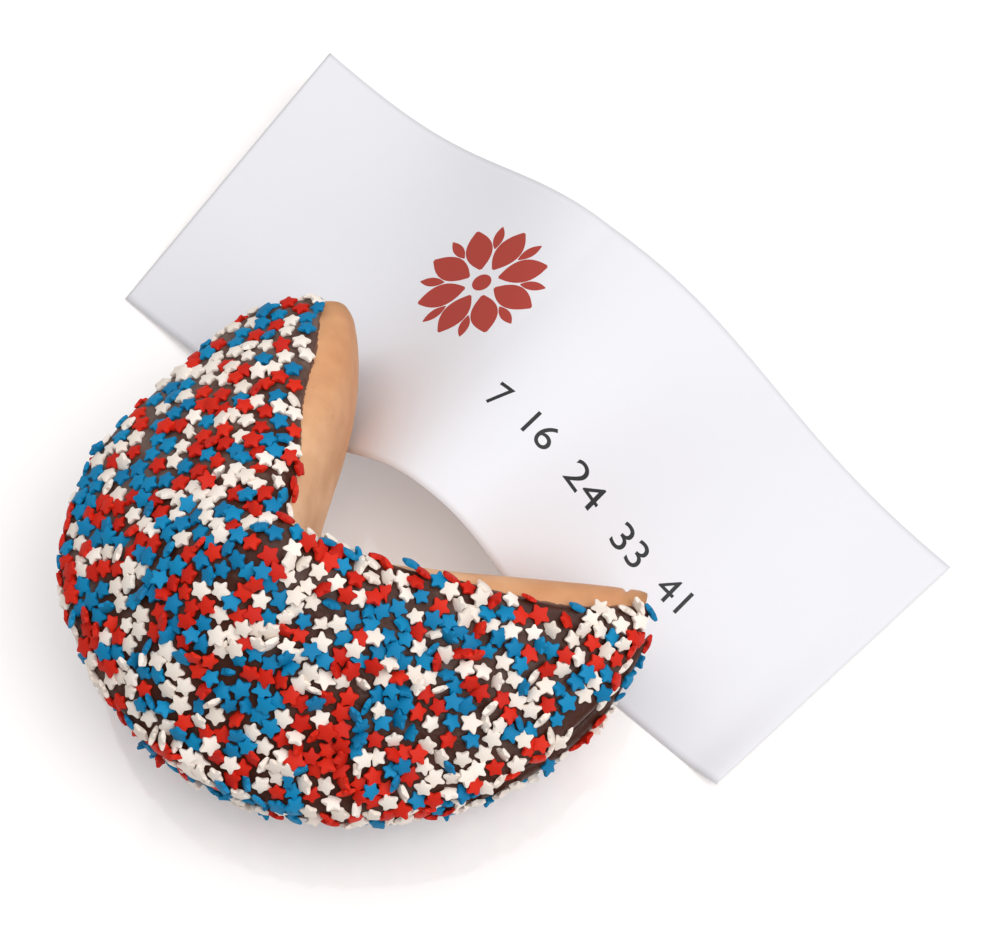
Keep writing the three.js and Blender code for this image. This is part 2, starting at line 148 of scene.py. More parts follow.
def fold_offset(wing, distance):
    """How far the fold stands out towards the notch, at a distance along one wing."""
    end = np.clip((distance - (wing["length"] - wing["end_round"])) / wing["end_round"], 0, 1)
    rounded_off = END_ROUNDING * wing["end_round"] * (1 - np.sqrt(1 - 0.9999 * end * end))
    share = np.clip(distance / wing["length"], 0, 1) ** wing["bulge_late"]
    return wing["bulge"] * np.sin(np.pi * share) - rounded_off


def fold_point(u):
    """The fold in plan: u runs from -1 at the left wing's end to 1 at the right one's."""
    run = np.sign(u) * of_wing(u, "length") * mix(u * u, np.abs(u), FOLD_EVENNESS)
    x = NOTCH[0] + 0 * run
    y = NOTCH[1] + 0 * run
    for wing, side in ((LEFT, -1), (RIGHT, 1)):
        distance = soft_positive(side * run, NOTCH_ROUND)
        offset = fold_offset(wing, distance)
        along_x, along_y = math.cos(wing["angle"]), math.sin(wing["angle"])
        x = x + along_x * distance - side * along_y * offset
        y = y + along_y * distance + side * along_x * offset
    return np.stack([x, y], -1)


FOLD_END_LEFT = fold_point(np.array(-1.0)) - RIM_CENTRE
FOLD_END_RIGHT = fold_point(np.array(1.0)) - RIM_CENTRE


def rim_point(u):
    """The two rims' line in plan: a circle that flares along each wing and ends at the fold."""
    share = np.arcsin(np.clip(u, -1, 1)) / (np.pi / 2)
    reach = np.abs(share)
    radius = RIM_RADIUS + of_wing(u, "flare") * reach ** of_wing(u, "flare_power")
    for wing, here in ((LEFT, u < 0), (RIGHT, u >= 0)):
        for by, at, width in wing["swells"]:
            radius += here * by * np.exp(-(((reach - at) / width) ** 2)) * smoothstep(reach, 0, at)
    end_length = np.where(u < 0, np.linalg.norm(FOLD_END_LEFT), np.linalg.norm(FOLD_END_RIGHT))
    radius += (end_length - RIM_RADIUS - of_wing(u, "flare")) * reach ** RIM_TURN
    start = math.atan2(FOLD_END_LEFT[1], FOLD_END_LEFT[0]) % (2 * math.pi)
    finish = math.atan2(FOLD_END_RIGHT[1], FOLD_END_RIGHT[0]) % (2 * math.pi)
    turn = np.sign(u) * of_wing(u, "end_turn") * smoothstep(reach, END_TURN_START, END_TURN_FULL)
    angle = mix(start, finish, (share + 1) / 2) - turn
    return RIM_CENTRE + np.stack([np.cos(angle), np.sin(angle)], -1) * radius[..., None]


def crest_height(u, front):
    """How high the section stands over the middle plane, or hangs under it, before its shape."""
    def soft(x):
        return np.sqrt(x * x + CREST_SOFTNESS ** 2) - CREST_SOFTNESS
    share = soft(u) / soft(1.0)
    closing = np.clip((np.abs(u) - END_START) / (1 - END_START), 0, 1)
    middle = np.where(front, FRONT_HEIGHT, BACK_HEIGHT)
    return mix(middle, of_wing(u, "end_height"), share) * (1 - END_CLOSING * closing ** 2)


def rim_height(u):
    """How far the wafer's outer face lies from the middle plane at the rim."""
    opening = np.clip((np.abs(u) - MOUTH_START) / (1 - MOUTH_START), 0, 1) ** 2
    return WAFER + mix(SEAM_GAP, MOUTH_GAP, opening) / 2


def section(u, t, front):
    """The section across the fold, a quartic Bezier curve: (share of the way out, height)."""
    r = 1 - t
    w1, w2, w3, w4 = 4 * t * r ** 3, 6 * t * t * r * r, 4 * t ** 3 * r, t ** 4
    lean = np.where(front, LEAN_FRONT, LEAN_BACK) * np.exp(-((u / LEAN_REACH) ** 2))
    nose = NOSE - np.where(front, NOSE_FRONT, NOSE_BACK) * np.exp(-((u / NOSE_REACH) ** 2))
    out = w1 * lean + w2 * nose + w3 * FLANK_OUT + w4
    up = w1 * CREST_UP + w2 * CREST_UP + w3 * FLANK_UP
    return out, up


def shell_point(u, v):
    """A point of the wafer's outer face. u runs along the fold, v across it, as in the CAD."""
    u, v = np.broadcast_arrays(np.asarray(u, float), np.asarray(v, float))
    t = np.abs(v)
    front = v < 0
    out, up = section(u, t, front)
    near_end = np.abs(u) ** END_REACH
    bow = of_wing(u, "end_bow") * near_end * np.sin(np.pi * np.clip(out, 0, 1) ** BOW_SHAPE)
    angle = of_wing(u, "angle")
    plan = mix(fold_point(u), rim_point(u), out[..., None])
    plan = plan + np.stack([np.cos(angle), np.sin(angle)], -1) * bow[..., None]
    height = crest_height(u, front) * up + rim_height(u) * t ** 3
    middle = MID["height"] + MID["rise_x"] * (plan[..., 0] - NOTCH[0])
    middle = middle + MID["rise_y"] * (plan[..., 1] - NOTCH[1]) - of_wing(u, "droop") * near_end
    z = middle + np.where(front, height, -height)
    z = REST_HEIGHT + soft_positive(z - REST_HEIGHT, REST_ROUND)
    return np.concatenate([plan, z[..., None]], -1)


def shell_frame(u, v):
    """Points of the outer face and its outward normals."""
    step = 1e-4
    along = shell_point(u + step, v) - shell_point(u - step, v)
    across = shell_point(u, v + step) - shell_point(u, v - step)
    return shell_point(u, v), unit(np.cross(along, across))


def dip_edge(u):
    """Where the chocolate's edge lies across the fold."""
    edge = DIP_START + of_wing(u, "dip_growth") * np.abs(u) ** DIP_POWER
    for by, at, width in DIP_WAVES:
        edge = edge + by * np.exp(-(((u - at) / width) ** 2))
    return edge + DIP_RIPPLE * np.sin(DIP_RIPPLE_RATE * u) * np.minimum(1, 4 * np.abs(u))


def lumps(points, size, seed):
    """Smooth noise from -1 to 1 over space, with features about size mm across."""
    flat = points.reshape(-1, 3) / size + seed
    values = [noise.noise(Vector(p)) for p in flat]
    return np.array(values).reshape(points.shape[:-1])


# ---------- meshes

def to_row(points):
    return (points.reshape(-1, 3) + SHIFT) * MM


def make_piece(name, points, faces, material, smooth=True):
    """A mesh object of points in the plan frame, riding on the one body."""
    mesh = bpy.data.meshes.new(name)
    points = to_row(np.asarray(points))
    mesh.vertices.add(len(points))
    mesh.vertices.foreach_set("co", points.ravel())
    faces = [np.asarray(f) for f in (faces if isinstance(faces, list) else [faces])]
    sizes = np.concatenate([np.full(len(f), f.shape[1]) for f in faces])
    mesh.loops.add(int(sizes.sum()))
    mesh.polygons.add(len(sizes))
    corners = np.concatenate([f.ravel() for f in faces])
    mesh.loops.foreach_set("vertex_index", corners.astype(np.int32))
    starts = np.concatenate([[0], np.cumsum(sizes)[:-1]])
    mesh.polygons.foreach_set("loop_start", starts.astype(np.int32))
    mesh.polygons.foreach_set("use_smooth", np.full(len(sizes), smooth))
    mesh.materials.append(material)
    mesh.update(calc_edges=True)
    mesh.validate()
    piece = bpy.data.objects.new(name, mesh)
    bpy.context.scene.collection.objects.link(piece)
    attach(piece, "root")
    return piece


def set_value(piece, name, values):
    """A number for each vertex, which the material reads."""
    attribute = piece.data.attributes.new(name, "FLOAT", "POINT")
    attribute.data.foreach_set("value", np.asarray(values, np.float32).ravel())


def quads(rows, turned=False):
    """Quads between neighbouring rows of a grid of vertex numbers."""
    a, b, c, d = rows[:-1, :-1], rows[1:, :-1], rows[1:, 1:], rows[:-1, 1:]
    order = (a, d, c, b) if turned else (a, b, c, d)
    return np.stack([x.ravel() for x in order], -1)


def around(grid):
    """The border of a grid, as a closed loop of its entries."""
    return np.concatenate([grid[0, :-1], grid[:-1, -1], grid[-1, :0:-1], grid[:0:-1, 0]])


def outward_of(border, normals):
    """The direction away from a patch at each point of its closed border."""
    tangent = np.roll(border, -1, 0) - np.roll(border, 1, 0)
    outward = unit(np.cross(tangent, normals))
    inside = border.mean(0) - border
    return -outward if (outward * inside).sum() > 0 else outward


def facing_out(grid, outward):
    """Unit normals of a grid of points, by central differences, on the side of outward."""
    normals = unit(np.cross(np.gradient(grid, axis=0), np.gradient(grid, axis=1)) + 1e-12)
    return normals * np.sign((normals * outward).sum())


# ---------- materials

SOCKETS = {
    "base_color": "Base Color", "roughness": "Roughness", "specular": "Specular IOR Level",
    "glow": "Emission Color", "glow_strength": "Emission Strength",
}


class Shader:
    """A Principled material with a few short ways to feed its sockets."""

    def __init__(self, name, **values):
        self.material = bpy.data.materials.new(name)
        self.material.use_nodes = True
        self.tree = self.material.node_tree
        self.surface = self.tree.nodes["Principled BSDF"]
        for socket, value in values.items():
            self.surface.inputs[SOCKETS[socket]].default_value = value

    def node(self, kind, output, inputs=None, **settings):
        """One output of a new node, whose inputs are values or other nodes' outputs."""
        node = self.tree.nodes.new(kind)
        for key, value in settings.items():
            setattr(node, key, value)
        for socket, value in (inputs or {}).items():
            self.join(value, node.inputs[socket])
        return node.outputs[output]

    def join(self, value, socket):
        if isinstance(value, bpy.types.NodeSocket):
            self.tree.links.new(value, socket)
        else:
            socket.default_value = value

    def attribute(self, name):
        return self.node("ShaderNodeAttribute", "Fac", attribute_name=name)

    def noise(self, size, detail=2.0, roughness=0.5):
        """Noise with features about size mm across, from 0 to 1."""
        place = self.node("ShaderNodeTexCoord", "Object")
        return self.node("ShaderNodeTexNoise", "Fac", {
            "Vector": place, "Scale": 1 / (size * MM), "Detail": detail, "Roughness": roughness})

    def span(self, value, low, high, to_low=0.0, to_high=1.0):
        return self.node("ShaderNodeMapRange", "Result", {
            "Value": value, "From Min": low, "From Max": high, "To Min": to_low,
            "To Max": to_high}, interpolation_type="SMOOTHSTEP")

    def maths(self, operation, a, b):
        return self.node("ShaderNodeMath", 0, {0: a, 1: b}, operation=operation)

    def blend(self, share, a, b):
        return self.node("ShaderNodeMix", "Result", {"Factor": share, "A": a, "B": b},
                         data_type="RGBA")

    def feed(self, socket, value):
        self.join(value, self.surface.inputs[socket])

    def bump(self, *layers):
        """Layers of (height, depth in mm), one on the other."""
        below = {}
        for height, depth in layers:
            inputs = {"Distance": depth * MM, "Height": height, **below}
            below = {"Normal": self.node("ShaderNodeBump", "Normal", inputs)}
        self.feed("Normal", below["Normal"])


def rgb(r, g, b):
    return (r, g, b, 1.0)


def wafer_material():
    shader = Shader("wafer", roughness=0.55)
    mottle = shader.span(shader.noise(16, 3), 0.3, 0.7)
    pale = shader.blend(mottle, rgb(0.72, 0.395, 0.205), rgb(0.87, 0.535, 0.31))
    baked = shader.blend(mottle, rgb(0.60, 0.27, 0.12), rgb(0.73, 0.37, 0.175))
    base = shader.blend(shader.attribute("bake"), pale, baked)
    freckles = shader.span(shader.noise(2.2, 4, 0.6), 0.56, 0.78, 0.0, 0.35)
    base = shader.blend(freckles, base, rgb(0.55, 0.27, 0.11))
    toasted = shader.maths("MULTIPLY", shader.attribute("toast"),
                           shader.span(shader.noise(7, 3), 0.25, 0.7, 0.4, 1))
    base = shader.blend(toasted, base, rgb(0.42, 0.19, 0.07))
    worn = shader.maths("ADD", shader.attribute("smear"),
                        shader.span(shader.noise(2.6, 4), 0.35, 0.65, -0.35, 0.35))
    base = shader.blend(shader.span(worn, 0.45, 0.62), base, rgb(0.16, 0.07, 0.045))
    shader.feed("Base Color", base)
    shader.bump((shader.noise(0.5, 3, 0.6), 0.05), (shader.noise(5, 2), 0.25))
    return shader.material


def chocolate_material():
    shader = Shader("chocolate", roughness=0.4, specular=0.2)
    # The lighter grey-brown is a painted sheen: the per-vertex value, plus random patches of noise,
    # lightens the chocolate most on the left wing, which faces the light.
    painted_sheen = shader.maths("ADD", shader.attribute("painted_sheen"),
                         shader.span(shader.noise(9, 3), 0.35, 0.65, -0.35, 0.35))
    painted_sheen = shader.span(painted_sheen, 0, 1)
    colour = shader.blend(painted_sheen, rgb(0.060, 0.018, 0.010), rgb(0.150, 0.098, 0.082))
    shader.feed("Base Color", colour)
    shader.feed("Roughness", shader.span(shader.noise(3, 3), 0.3, 0.7, 0.3, 0.46))
    shader.bump((shader.noise(1.1, 2), 0.14), (shader.noise(4, 2), 0.4))
    return shader.material


def sprinkle_material(name, dark, light):
    shader = Shader(name, roughness=0.6, specular=0.25)
    colour = shader.blend(shader.attribute("shade"), rgb(*dark), rgb(*light))
    shader.feed("Base Color", colour)
    shader.bump((shader.noise(0.35, 2), 0.03), (shader.noise(1.6, 1), 0.08))
    return shader.material


def paper_material():
    shader = Shader("paper", roughness=0.8)
    colour = shader.blend(shader.noise(30, 2), rgb(0.78, 0.775, 0.81), rgb(0.80, 0.795, 0.83))
    shader.feed("Base Color", colour)
    shader.bump((shader.noise(0.35, 3, 0.6), 0.02))
    return shader.material


# ---------- the wafer

WAFER_STATIONS, COATED_ROWS, BARE_ROWS = 260, 30, 81
BARE_CROWDING, CROWDED_SHARE = 1.7, 0.6  # the bare rows are crowded at the fold
EDGE_BULGE = 0.35  # how far the wafer's cut edge is rounded out
BARE_SPAN = 85  # about how many mm of the bare fold go to 1 of v
SMEAR_WIDTH, SMEAR_WIDTH_TIP = 0.9, 3.2  # chocolate smeared on the wafer beside its edge


def stations(count):
    """Values of u, closest together at the two ends."""
    return np.sin(np.linspace(-1, 1, count) * np.arcsin(U_END))


def wafer_mesh():
    """The wafer: rows across the fold are close together where it is bare, and follow the
    chocolate's edge."""
    u = stations(WAFER_STATIONS)[:, None]
    edge = dip_edge(u)
    coated = mix(edge, 1, np.linspace(0, 1, COATED_ROWS)[None, :])
    bare = np.linspace(-1, 1, BARE_ROWS)[None, 1:-1]
    bare = edge * mix(bare, np.sign(bare) * np.abs(bare) ** BARE_CROWDING, CROWDED_SHARE)
    v = np.concatenate([-coated[:, ::-1], bare, coated], axis=1)
    points, normals = shell_frame(u, v)
    relief = 0.12 * lumps(points, 13, 5.0) + 0.05 * lumps(points, 4, 9.0)
    chip = CHIP_DEPTH * np.exp(-(((u - CHIP_AT) / CHIP_WIDTH) ** 2))
    relief = relief - chip * smoothstep(-np.abs(v), -0.4, -0.2)
    outer = points + normals * relief[..., None]
    inner = points - normals * WAFER

    # The cut edge between the two faces is rounded.
    border = around(points)
    outward = outward_of(border, around(normals))
    rings = []
    for share in (0.08, 0.3, 0.5, 0.7, 0.92):
        bulge = EDGE_BULGE * math.sqrt(1 - (2 * share - 1) ** 2)
        rings.append(mix(around(outer), around(inner), share) + outward * bulge)

    count = outer.shape[0] * outer.shape[1]
    numbers = np.arange(count).reshape(outer.shape[:2])
    loop = len(border)
    strips = [around(numbers)] + [2 * count + k * loop + np.arange(loop) for k in range(len(rings))]
    strips.append(around(numbers) + count)
    strips = np.stack([np.append(s, s[0]) for s in strips])
    faces = [quads(numbers), quads(numbers + count, turned=True), quads(strips, turned=True)]
    vertices = np.concatenate([outer.reshape(-1, 3), inner.reshape(-1, 3), *rings])

    bare_width = np.clip((edge - np.abs(v)) * BARE_SPAN, 0, None)
    right_tip = smoothstep(u, 0.9, 0.97)
    smear = np.clip(1 - bare_width / mix(SMEAR_WIDTH, SMEAR_WIDTH_TIP, right_tip), 0, 1)
    toast = smoothstep(np.abs(u), 0.94, U_END) * np.ones_like(v)
    bake = smoothstep(np.abs(u), 0.45, 0.85) * np.ones_like(v)
    values = [np.concatenate([grid.ravel(), 0 * grid.ravel(), np.tile(around(grid), len(rings))])
              for grid in (smear, toast, bake)]
    return vertices, faces, values


# ---------- the chocolate coat

COAT_STATIONS, COAT_ROWS = 300, 56
ROW_CROWDING, ROW_EVENNESS = 1.7, 0.3  # the rows are crowded at the dip edge
COAT_ROUNDING = 1.7  # how far from its dip edge the chocolate is rounded
COAT_EDGE_SUNK, COAT_SUNK = 0.3, 0.7  # under the wafer's face: the dip edge and the inner face
BEAD, BEAD_AT, BEAD_WIDTH = 0.25, 1.9, 1.3  # the thicker bead that runs along the dip edge


def seam_openness(u):
    """0 where the seam between the layers is shut, 1 at the mouths."""
    return smoothstep(np.abs(u), LIP_START, LIP_FULL)


def wrap_profile(openness):
    """The chocolate round the wafer's edge: pairs of a point on or in the wafer's edge and the
    way that the chocolate stands out from it, both as (outward, along the normal). Where the
    seam is shut it reaches past the middle surface, so the two layers' chocolate joins."""
    low = -(WAFER + SEAM_GAP / 2)
    round_top = [
        ((0.1, -0.1), (0.50, 0.75)), ((0.3, -0.4), (0.85, 0.30)), ((0.4, -0.5 * WAFER), (1.0, 0.0)),
    ]
    closed = round_top + [
        ((0.3, -WAFER), (0.9, -0.05)), ((0.1, low), (0.6, -0.35)), ((-0.3, low), (0.3, -0.5)),
        ((-0.8, low), (0.0, -0.5)), ((-1.2, -WAFER + 0.4), (0.0, 0.0)),
    ]
    opened = round_top + [
        ((0.3, -WAFER + 0.4), (0.85, -0.30)), ((0.1, -WAFER + 0.1), (0.5, -0.75)),
        ((-0.5 * LIP, -WAFER), (0.0, -0.8)), ((-LIP, -WAFER), (-0.2, -0.45)),
        ((-LIP - 0.6, -WAFER + 0.4), (0.0, 0.0)),
    ]
    closed, opened = np.array(closed), np.array(opened)
    return mix(closed[None], opened[None], openness[:, None, None, None])


def coat_layer(side):
    """The chocolate of one layer, front (-1) or back (1), as vertices, faces and the skins that
    sprinkles can lie on: for each a grid of points, of the way that a sprinkle there faces, and
    of 1 where they cover it and 0 where they don't."""
    u = stations(COAT_STATIONS)[:, None]
    edge = dip_edge(u)
    for by, rate, seed in DIP_WOBBLES:
        edge = edge + by * lumps(np.stack([u * rate, 0 * u, 0 * u + side], -1), 1, seed)
    share = np.linspace(0, 1, COAT_ROWS)[None, :]
    v = side * mix(edge, 1, mix(share ** ROW_CROWDING, share, ROW_EVENNESS))
    points, normals = shell_frame(u, v)
    step = np.linalg.norm(np.diff(points, axis=1), axis=-1)
    from_edge = np.concatenate([0 * u, np.cumsum(step, axis=1)], axis=1)
    rounding = np.sqrt(1 - (1 - np.clip(from_edge / COAT_ROUNDING, 0, 1)) ** 2)
    thickness = COAT + 0.28 * lumps(points, 12, 3.0) + 0.14 * lumps(points, 4.5, 8.0)
    thickness += BEAD * np.exp(-(((from_edge - BEAD_AT) / BEAD_WIDTH) ** 2))
    outer = points + normals * mix(-COAT_EDGE_SUNK, thickness, rounding)[..., None]
    inner = points - normals * COAT_SUNK

    def along_path(grid):
        """The border of a grid but for its side at the dip edge, as a row."""
        return np.concatenate([grid[0, :-1], grid[:-1, -1], grid[-1, ::-1]])

    border = along_path(points)
    up = along_path(normals)
    outward = side * unit(np.cross(up, np.gradient(border, axis=0)))
    openness = seam_openness(along_path(u * np.ones_like(v)))
    profile = wrap_profile(openness)
    reach = (along_path(thickness) * along_path(rounding))[:, None]
    out_by, up_by = np.moveaxis(profile[:, :, 0] + profile[:, :, 1] * reach[..., None], -1, 0)
    sunk = 1 - along_path(rounding)[:, None]
    out_by = out_by - 0.5 * sunk * (profile[:, :, 0, 0] > 0)
    wrap = border[:, None] + outward[:, None] * out_by[..., None] + up[:, None] * up_by[..., None]

    count = outer.shape[0] * outer.shape[1]
    numbers = np.arange(count).reshape(outer.shape[:2])
    wrap_numbers = 2 * count + np.arange(wrap.shape[0] * wrap.shape[1]).reshape(wrap.shape[:2])
    strips = np.concatenate([along_path(numbers)[:, None], wrap_numbers,
                             along_path(numbers + count)[:, None]], axis=1)
    front = side < 0
    faces = [
        quads(numbers, turned=front),
        quads(numbers + count, turned=not front),
        quads(strips, turned=front),
        quads(np.stack([numbers[:, 0], numbers[:, 0] + count]), turned=front),
    ]
    for end, turned in ((strips[0], front), (strips[-1], not front)):
        fan = np.stack([np.full(len(end) - 2, end[0]), end[1:-1], end[2:]], -1)
        faces.append(fan[:, ::-1] if turned else fan)
    vertices = np.concatenate([outer.reshape(-1, 3), inner.reshape(-1, 3), wrap.reshape(-1, 3)])
    vertices[:, 2] = np.maximum(vertices[:, 2], 0)

    # Sprinkles keep off the dip edge, the lips inside the mouths and one smooth patch, and lean
    # over towards the dip edge.
    cover = (from_edge > STAR_FROM_EDGE) * (1 - smooth_patch(points))
    lean = STAR_LEAN * np.exp(-from_edge / STAR_LEAN_REACH)
    facing = unit(facing_out(outer, normals) - lean[..., None] * unit(np.gradient(points, axis=1)))
    edge_strip = np.concatenate([along_path(outer)[:, None], wrap[:, :4]], axis=1)
    shut = openness < 0.5
    always = np.ones_like(shut)
    strip_cover = along_path(cover)[:, None] * np.stack([always, always, shut, shut, shut], -1)
    skins = [(outer, facing, cover), (edge_strip, facing_out(edge_strip, up[:, None]), strip_cover)]
    return vertices, faces, skins


def painted_sheen_at(points):
    """How much a painted sheen lightens and greys the chocolate: most on the left wing, which faces
    the light, least along the right one.
    """
    return 0.45 + 0.45 * np.tanh((points[:, 1] - 0.7 * points[:, 0] - 25) / 30)


def smooth_patch(points):
    """1 on the front layer's smooth bare chocolate beside the right wing's mouth, 0 elsewhere."""
    u, v = SMOOTH_AT
    middle = shell_point(u, v)
    run = unit(shell_point(u + 0.01, v) - middle)
    away = points - middle
    along = away @ run
    across = np.linalg.norm(away - along[..., None] * run, axis=-1)
    return (along / SMOOTH_SIZE[0]) ** 2 + (across / SMOOTH_SIZE[1]) ** 2 < 1


# ---------- the star sprinkles

STAR_TIP, STAR_VALLEY = 2.62, 1.56
STAR_LENS, STAR_LENS_REACH = 0.82, 2.95  # half thickness at the middle; a star is lens-shaped
STAR_FROM_EDGE = 1.2  # how far from the dip edge the first stars lie
STAR_LEAN, STAR_LEAN_REACH = 0.9, 2.2
STAR_THROWS = 3.0  # how many places are tried for each square millimetre
STAR_PASSES = [(4.5, 16), (4.0, 12), (3.6, 12), (3.2, 12)]  # least distance, rounds
STAR_LIFTS = (2.0, 0.45)  # how far one may be lifted off the faces, and off the edges
STAR_HANG, STAR_HALF, STAR_ROOM = 2.7, 1.0, 0.9  # the space that one needs under it
FACING_UP = 0.3  # stars that face up more than this need no such space
STAR_SINK = (0.1, 0.5)  # how deep one is pressed in, least and most
STAR_SWAY = 0.1  # how unevenly one lies, as a slope
STAR_NEST = 0.92  # one that lies on others sinks in among them
STAR_MEET = 5.6  # stars further apart don't meet
STEEP = 0.35  # a star that faces away more than this carries no other
PILED = 0.9  # how high a star's middle is when it lies on others
TILTED, TILTED_PILED, TILTED_SLOPES = 0.035, 0.09, (1.2, 2.6)  # shares that stand askew
STAR_SIZES, STAR_SIZE_SPREAD = (0.84, 1.12), 0.06
WHOLE_KINDS, BROKEN_KINDS, BROKEN_SHARE = 6, 2, 0.02
STAR_TOP, STAR_BOTTOM = 75.9, 0.02  # the highest and the lowest that a star may reach
STAR_CLEARANCE = 0.3  # the least gap from a star to the slip
TOUCH_COAT, TOUCH_STAR, TOUCH_REACH = 0.12, 0.4, 6  # gaps that are held to be none
STAR_RINGS = [(0.55, 1.0), (0.95, 1.0), (1.0, 0.72), (1.0, -0.72), (0.95, -1.0)]  # size, height
STAR_CREASE = 32  # degrees, from which an edge of a star is drawn sharp
ARMS, OUTLINE_POINTS = 5, 20
COLOURS, COLOUR_SHARES = ("red", "white", "blue"), (0.31, 0.36, 0.33)
COLOUR_PATCH, COLOUR_MIXING = 6.5, 1.5


def lens(radius):
    """Half the thickness of a star at a distance from its middle."""
    return STAR_LENS * np.clip(1 - (radius / STAR_LENS_REACH) ** 2, 0.02, 1) ** 0.7


def star_outline(rng):
    """One pressed star's outline: five fat arms with rounded tips, no two quite alike."""
    outline = []
    for arm in range(ARMS):
        tip = STAR_TIP * rng.uniform(0.93, 1.05)
        valley = STAR_VALLEY * rng.uniform(0.95, 1.06)
        middle = 2 * math.pi * (arm + rng.uniform(-0.03, 0.03)) / ARMS
        turn = math.pi / ARMS
        outline += [(tip * 0.95, middle - 0.13), (tip, middle), (tip * 0.95, middle + 0.13),
                    (valley, middle + turn)]
    radius, angle = np.array(outline).T
    return np.stack([radius * np.cos(angle), radius * np.sin(angle)], -1)


def star_template(rng, broken):
    """Points of a star, flat on its middle plane: a lens cut out by the outline."""
    outline = star_outline(rng)
    if broken:
        cut = rng.uniform(0.2, 1.0) + 0.3 * np.sin(2.5 * outline[:, 1]) + 0.2 * outline[:, 1]
        outline[:, 0] = np.minimum(outline[:, 0], cut)
    radius = np.linalg.norm(outline, axis=1)
    rings = []
    for scale, share in STAR_RINGS:
        rings.append(np.column_stack([outline * scale, share * lens(radius * scale)]))
    top, bottom = [[0, 0, STAR_LENS]], [[0, 0, -STAR_LENS]]
    return np.concatenate([top, *rings, bottom])


def star_faces(points):
    """Triangles and quads of the template: a fan, strips between the rings, and a fan."""
    number = np.arange(points)
    after = np.roll(number, -1)
    rings = [1 + k * points for k in range(len(STAR_RINGS))]
    top = np.stack([0 * number, rings[0] + number, rings[0] + after], -1)
    last = rings[-1]
    bottom = np.stack([0 * number + last + points, last + after, last + number], -1)
    strips = [np.stack([a + number, b + number, b + after, a + after], -1)
              for a, b in zip(rings[:-1], rings[1:])]
    return np.concatenate([top, bottom]), np.concatenate(strips)


def spacing_at(spots, normals):
    """How far apart the stars lie, as a share: uneven all over, a little further on the left
    wing, and furthest where it faces left."""
    spacing = 0.99 + 0.13 * lumps(spots, 17, 40.0) + 0.1 * lumps(spots, 7, 50.0)
    spacing += 0.05 * np.tanh((spots[:, 1] - spots[:, 0] - 20) / 45)
    spacing += 0.25 * np.clip(-normals[:, 0], 0, 1) * smoothstep(spots[:, 1], -50, 0)
    return spacing


def jumble_at(place):
    """How untidily the stars lie: least on the left wing, most along the right one."""
    return 1.5 + np.tanh((place[0] - place[1]) / 40)


def scatter(layers, rng):
    """Places on the chocolate for the sprinkles, thrown until hardly a gap is left: points,
    normals and how far one may be lifted there. Later ones lie on those already there."""
    spots, normals, lifts = [], [], []
    for number, (skin, facing, cover) in enumerate(patch for layer in layers for patch in layer[2]):
        diagonals = skin[1:, 1:] - skin[:-1, :-1], skin[:-1, 1:] - skin[1:, :-1]
        area = np.linalg.norm(np.cross(*diagonals), axis=-1) / 2
        area = area * cover[:-1, :-1]
        draws = int(area.sum() * STAR_THROWS)
        cell = rng.choice(area.size, draws, p=(area / area.sum()).ravel())
        i, j = np.unravel_index(cell, area.shape)
        a, b = rng.random((2, draws, 1))
        for grid, found in ((skin, spots), (facing, normals)):
            one_side = mix(grid[i, j], grid[i + 1, j], a)
            other_side = mix(grid[i, j + 1], grid[i + 1, j + 1], a)
            found.append(mix(one_side, other_side, b))
        lifts.append(np.full(draws, STAR_LIFTS[number % 2]))
    spots, normals, lifts = (np.concatenate(found) for found in (spots, normals, lifts))
    normals = unit(normals)

    low = np.maximum(0, slip_top(spots[:, 0], spots[:, 1]))
    rise = normals[:, 2]
    hang = STAR_HANG * np.sqrt(1 - rise ** 2) + STAR_HALF * np.abs(rise)
    free = (rise >= FACING_UP) | (spots[:, 2] - low > hang + STAR_ROOM)
    spots, normals, lifts = spots[free], normals[free], lifts[free]
    order = rng.permutation(len(spots))
    spots, normals, lifts = spots[order], normals[order], lifts[order]

    spacing = spacing_at(spots, normals)
    kept, chosen = np.empty((0, 3)), []
    for distance, rounds in STAR_PASSES:
        for chunk in np.array_split(np.arange(len(spots)), rounds):
            near = nearest(spots[chunk], kept)
            for index in chunk[near > distance * spacing[chunk]]:
                least = distance * spacing[index]
                if len(kept) and ((kept - spots[index]) ** 2).sum(1).min() < least * least:
                    continue
                kept = np.vstack([kept, spots[index]])
                chosen.append(index)
    return kept, normals[chosen], lifts[chosen]


def nearest(points, others):
    """The distance from each point to the nearest of the others."""
    if not len(others):
        return np.full(len(points), np.inf)
    square = (points ** 2).sum(1)[:, None] + (others ** 2).sum(1)[None] - 2 * points @ others.T
    return np.sqrt(np.maximum(square.min(1), 0))


def footprint():
    """Points of a star's footprint, and every three of its outer ones that its middle lies
    between, with the shares in which they carry it. A star comes to rest on the three that hold
    its middle highest."""
    corner = np.arange(2 * ARMS)
    angle = corner * math.pi / ARMS
    radius = np.where(corner % 2, STAR_VALLEY, 0.93 * STAR_TIP)
    outer = np.stack([radius * np.cos(angle), radius * np.sin(angle)], -1)
    points = np.concatenate([outer, 0.55 * outer[::2], [[0.0, 0.0]]])
    triples, shares = [], []
    for triple in itertools.combinations(corner, 3):
        corners = np.column_stack([points[list(triple)], np.ones(3)])
        if abs(np.linalg.det(corners)) < 1e-6:
            continue
        share = np.linalg.solve(corners.T, [0, 0, 1])
        if share.min() > -1e-9:
            triples.append(triple)
            shares.append(share)
    return points, np.array(triples), np.array(shares)


def outline_radius(angle):
    """The outline of an even star, as a radius for each angle."""
    turn = np.abs((angle / (2 * math.pi / ARMS) + 0.5) % 1 - 0.5) * 2
    return 1 / mix(1 / STAR_TIP, 1 / STAR_VALLEY, turn)


